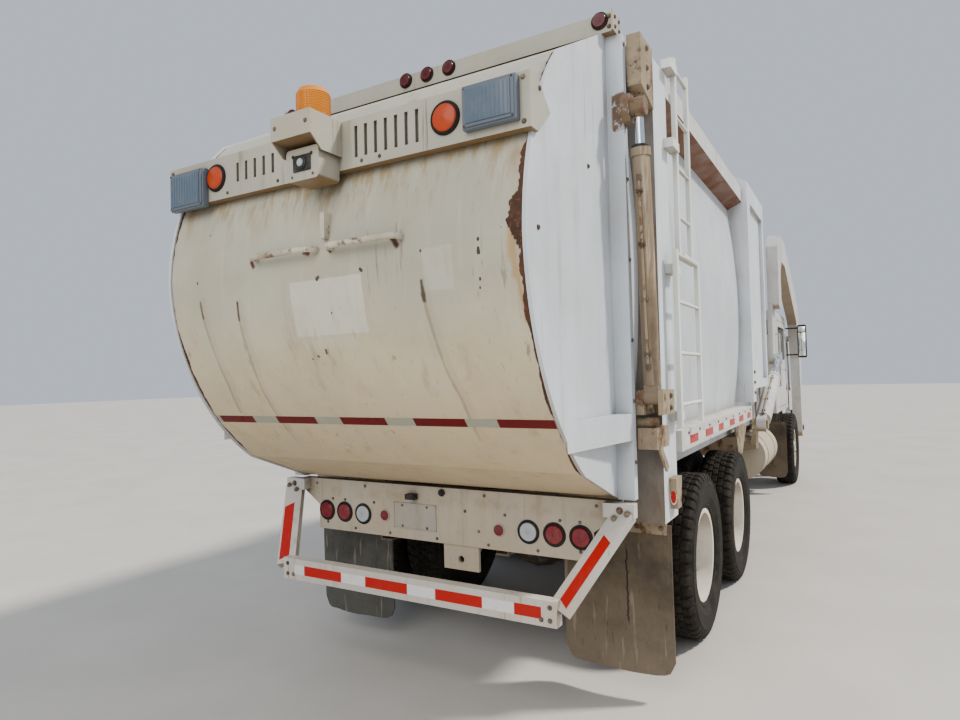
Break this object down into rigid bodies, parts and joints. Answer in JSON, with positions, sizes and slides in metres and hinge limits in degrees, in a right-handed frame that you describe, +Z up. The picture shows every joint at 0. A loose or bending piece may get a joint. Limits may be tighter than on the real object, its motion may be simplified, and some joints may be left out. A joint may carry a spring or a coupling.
{
  "type": "front loader garbage truck",
  "caption": "Cab-over refuse truck with round lifting tailgate, hollow load body, cranked front lift arms with folded forks, ladder, twin rear axles and steered front wheels.",
  "frame": {"origin": "centre of the whole vehicle's box, on the ground under the wheels", "axes": "+X forwards, +Y to the vehicle's left, +Z up"},
  "size_m": [10.4798, 2.74, 3.64],
  "materials": {
    "white_paint": "weathered gloss",
    "cream_paint": "dusty, worn",
    "frame_paint": "dusty satin",
    "rusty_steel": "rusted",
    "cast_iron": "dusty",
    "chrome_rod": "polished",
    "tyre": "dusty",
    "rim_paint": "dusty",
    "flap_rubber": "scratched matt",
    "red_lens": "glossy",
    "amber_lens": "glossy",
    "glass": "tinted",
    "seat_fabric": "woven",
    "black_plastic": "grained"
  },
  "bodies": {
    "truck": {"chassis_frame": "frame_paint", "rear_panel": "cream_paint", "rear_bumper": "white_paint", "truck_lamps": "red_lens", "body_shell": "white_paint", "body_frames": "white_paint", "roof_rails": "white_paint", "wheel_shelves": "white_paint", "hopper": "white_paint", "ladder": "cream_paint", "mud_flaps": "flap_rubber", "brackets": "rusty_steel", "axles": "cast_iron", "engine": "cast_iron", "tanks": "cream_paint", "cab_shell": "white_paint", "cab_glass": "glass", "cab_interior": "seat_fabric", "steering_wheel": "black_plastic", "front_bumper": "white_paint", "grille": "black_plastic", "steps": "frame_paint", "mirrors": "black_plastic"},
    "packer": {"packer_blade": "rusty_steel"},
    "tailgate": {"gate_sides": "white_paint", "gate_skin": "cream_paint", "gate_header": "white_paint", "light_bar": "white_paint", "gate_lamps": "red_lens", "beacon_box": "white_paint", "beacon": "amber_lens", "gate_handles": "rusty_steel"},
    "gate_barrels": {"gate_barrels": "rusty_steel"},
    "gate_rods": {"gate_rods": "chrome_rod"},
    "arms": {"lift_arms": "white_paint"},
    "arm_barrels": {"arm_barrels": "white_paint"},
    "arm_rods": {"arm_rods": "chrome_rod"},
    "forks": {"forks": "frame_paint"},
    "fork_barrels": {"fork_barrels": "white_paint"},
    "fork_rods": {"fork_rods": "chrome_rod"},
    "door_left": {"door_left": "white_paint", "door_glass_left": "glass"},
    "knuckle_left": {"knuckle_left": "cast_iron"},
    "front_wheel_left": {"tyre_front_left": "tyre", "rim_front_left": "rim_paint"},
    "rear_wheel_1_left": {"tyres_rear_1_left": "tyre", "rims_rear_1_left": "rim_paint"},
    "rear_wheel_2_left": {"tyres_rear_2_left": "tyre", "rims_rear_2_left": "rim_paint"},
    "door_right": {"door_right": "white_paint", "door_glass_right": "glass"},
    "knuckle_right": {"knuckle_right": "cast_iron"},
    "front_wheel_right": {"tyre_front_right": "tyre", "rim_front_right": "rim_paint"},
    "rear_wheel_1_right": {"tyres_rear_1_right": "tyre", "rims_rear_1_right": "rim_paint"},
    "rear_wheel_2_right": {"tyres_rear_2_right": "tyre", "rims_rear_2_right": "rim_paint"}
  },
  "joints": [
    {"name": "tailgate_lift", "type": "hinge", "parent": "truck", "child": "tailgate", "pos_m": [-3.91, 0, 3.44], "axis": [0, 1, 0], "range_deg": [0, 80]},
    {"name": "gate_barrel_tilt", "type": "hinge", "parent": "truck", "child": "gate_barrels", "pos_m": [-4.01, 0, 1.62], "axis": [0, -1, 0], "range_deg": [0, 5.55]},
    {"name": "gate_rod_slide", "type": "slide", "parent": "gate_barrels", "child": "gate_rods", "axis": [-0.0702, 0, 0.9975], "range_m": [0, 0.55152]},
    {"name": "arms_lift", "type": "hinge", "parent": "truck", "child": "arms", "pos_m": [2.09, 0, 2.3], "axis": [0, -1, 0], "range_deg": [0, 95]},
    {"name": "arm_barrel_tilt", "type": "hinge", "parent": "truck", "child": "arm_barrels", "pos_m": [0.24, 0, 1.165], "axis": [0, -1, 0], "range_deg": [0, 3.77]},
    {"name": "arm_rod_slide", "type": "slide", "parent": "arm_barrels", "child": "arm_rods", "axis": [0.9261, 0, 0.3772], "range_m": [0, 0.59602]},
    {"name": "forks_tilt", "type": "hinge", "parent": "arms", "child": "forks", "pos_m": [5.09, 0, 0.75], "axis": [0, 1, 0], "range_deg": [0, 100]},
    {"name": "fork_barrel_tilt", "type": "hinge", "parent": "arms", "child": "fork_barrels", "pos_m": [4.88, 0, 2.25], "axis": [0, -1, 0], "range_deg": [0, 8.14]},
    {"name": "fork_rod_slide", "type": "slide", "parent": "fork_barrels", "child": "fork_rods", "axis": [0.1503, 0, -0.9886], "range_m": [0, 0.32719]},
    {"name": "door_left_swing", "type": "hinge", "parent": "truck", "child": "door_left", "pos_m": [4.32, 1.075, 1.85], "axis": [0, 0, -1], "range_deg": [0, 70]},
    {"name": "door_right_swing", "type": "hinge", "parent": "truck", "child": "door_right", "pos_m": [4.32, -1.075, 1.85], "axis": [0, 0, 1], "range_deg": [0, 70]},
    {"name": "steer_left", "type": "hinge", "parent": "truck", "child": "knuckle_left", "pos_m": [3.844, 0.9, 0.531], "axis": [0, 0, 1], "range_deg": [-35, 35]},
    {"name": "steer_right", "type": "hinge", "parent": "truck", "child": "knuckle_right", "pos_m": [3.844, -0.9, 0.531], "axis": [0, 0, 1], "range_deg": [-35, 35]},
    {"name": "front_wheel_left_spin", "type": "hinge", "parent": "knuckle_left", "child": "front_wheel_left", "pos_m": [3.844, 1.08, 0.531], "axis": [0, 1, 0], "continuous": true},
    {"name": "rear_wheel_1_left_spin", "type": "hinge", "parent": "truck", "child": "rear_wheel_1_left", "pos_m": [-2.761, 0.9125, 0.531], "axis": [0, 1, 0], "continuous": true},
    {"name": "rear_wheel_2_left_spin", "type": "hinge", "parent": "truck", "child": "rear_wheel_2_left", "pos_m": [-1.41, 0.9125, 0.531], "axis": [0, 1, 0], "continuous": true},
    {"name": "front_wheel_right_spin", "type": "hinge", "parent": "knuckle_right", "child": "front_wheel_right", "pos_m": [3.844, -1.08, 0.531], "axis": [0, 1, 0], "continuous": true},
    {"name": "rear_wheel_1_right_spin", "type": "hinge", "parent": "truck", "child": "rear_wheel_1_right", "pos_m": [-2.761, -0.9125, 0.531], "axis": [0, 1, 0], "continuous": true},
    {"name": "rear_wheel_2_right_spin", "type": "hinge", "parent": "truck", "child": "rear_wheel_2_right", "pos_m": [-1.41, -0.9125, 0.531], "axis": [0, 1, 0], "continuous": true},
    {"name": "packer_push", "type": "slide", "parent": "truck", "child": "packer", "axis": [-1, 0, 0], "range_m": [0, 0.78]}
  ],
  "couplings": [
    {"joint": "gate_barrel_tilt", "follows": "tailgate_lift", "ratio": 0.069381},
    {"joint": "gate_rod_slide", "follows": "tailgate_lift", "m_per_rad": 0.395},
    {"joint": "arm_barrel_tilt", "follows": "arms_lift", "ratio": 0.039657},
    {"joint": "arm_rod_slide", "follows": "arms_lift", "m_per_rad": 0.35947},
    {"joint": "fork_barrel_tilt", "follows": "forks_tilt", "ratio": 0.081447},
    {"joint": "fork_rod_slide", "follows": "forks_tilt", "m_per_rad": 0.18746},
    {"joint": "steer_right", "follows": "steer_left", "ratio": 1}
  ]
}
